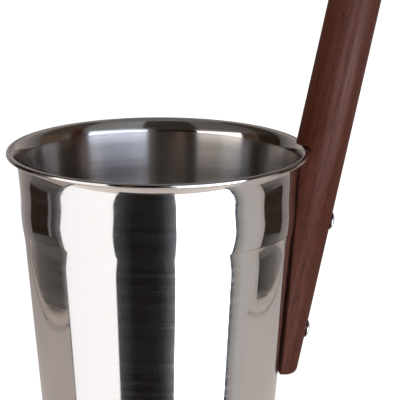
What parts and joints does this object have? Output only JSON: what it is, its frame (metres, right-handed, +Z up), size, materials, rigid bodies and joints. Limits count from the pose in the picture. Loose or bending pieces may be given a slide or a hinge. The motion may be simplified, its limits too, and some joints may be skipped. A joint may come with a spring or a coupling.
{
  "type": "bath pail",
  "caption": "Tapered polished steel bath or sauna pail of about 4 litres, with a rolled rim and a leaning round wooden handle screwed to its wall, for carrying and pouring water.",
  "frame": {"origin": "middle of the pail's flat base, on the surface it stands on", "axes": "+Z up the pail's axis, +X towards the handle, +Y across it"},
  "size_m": [0.2577, 0.2, 0.3478],
  "materials": {
    "polished_steel": "stainless steel polished to a mirror outside, with faint lines round the axis; finely brushed inside",
    "stained_wood": "dark red-brown stain under a satin varnish",
    "fastener_steel": "bright stainless steel",
    "seal_rubber": "matt black rubber"
  },
  "bodies": {
    "root": {"pail": "polished_steel", "handle": "stained_wood", "upper_screw": "fastener_steel", "lower_screw": "fastener_steel", "upper_seal": "seal_rubber", "lower_seal": "seal_rubber", "upper_washer": "fastener_steel", "lower_washer": "fastener_steel", "upper_cap_nut": "fastener_steel", "lower_cap_nut": "fastener_steel"}
  },
  "joints": []
}
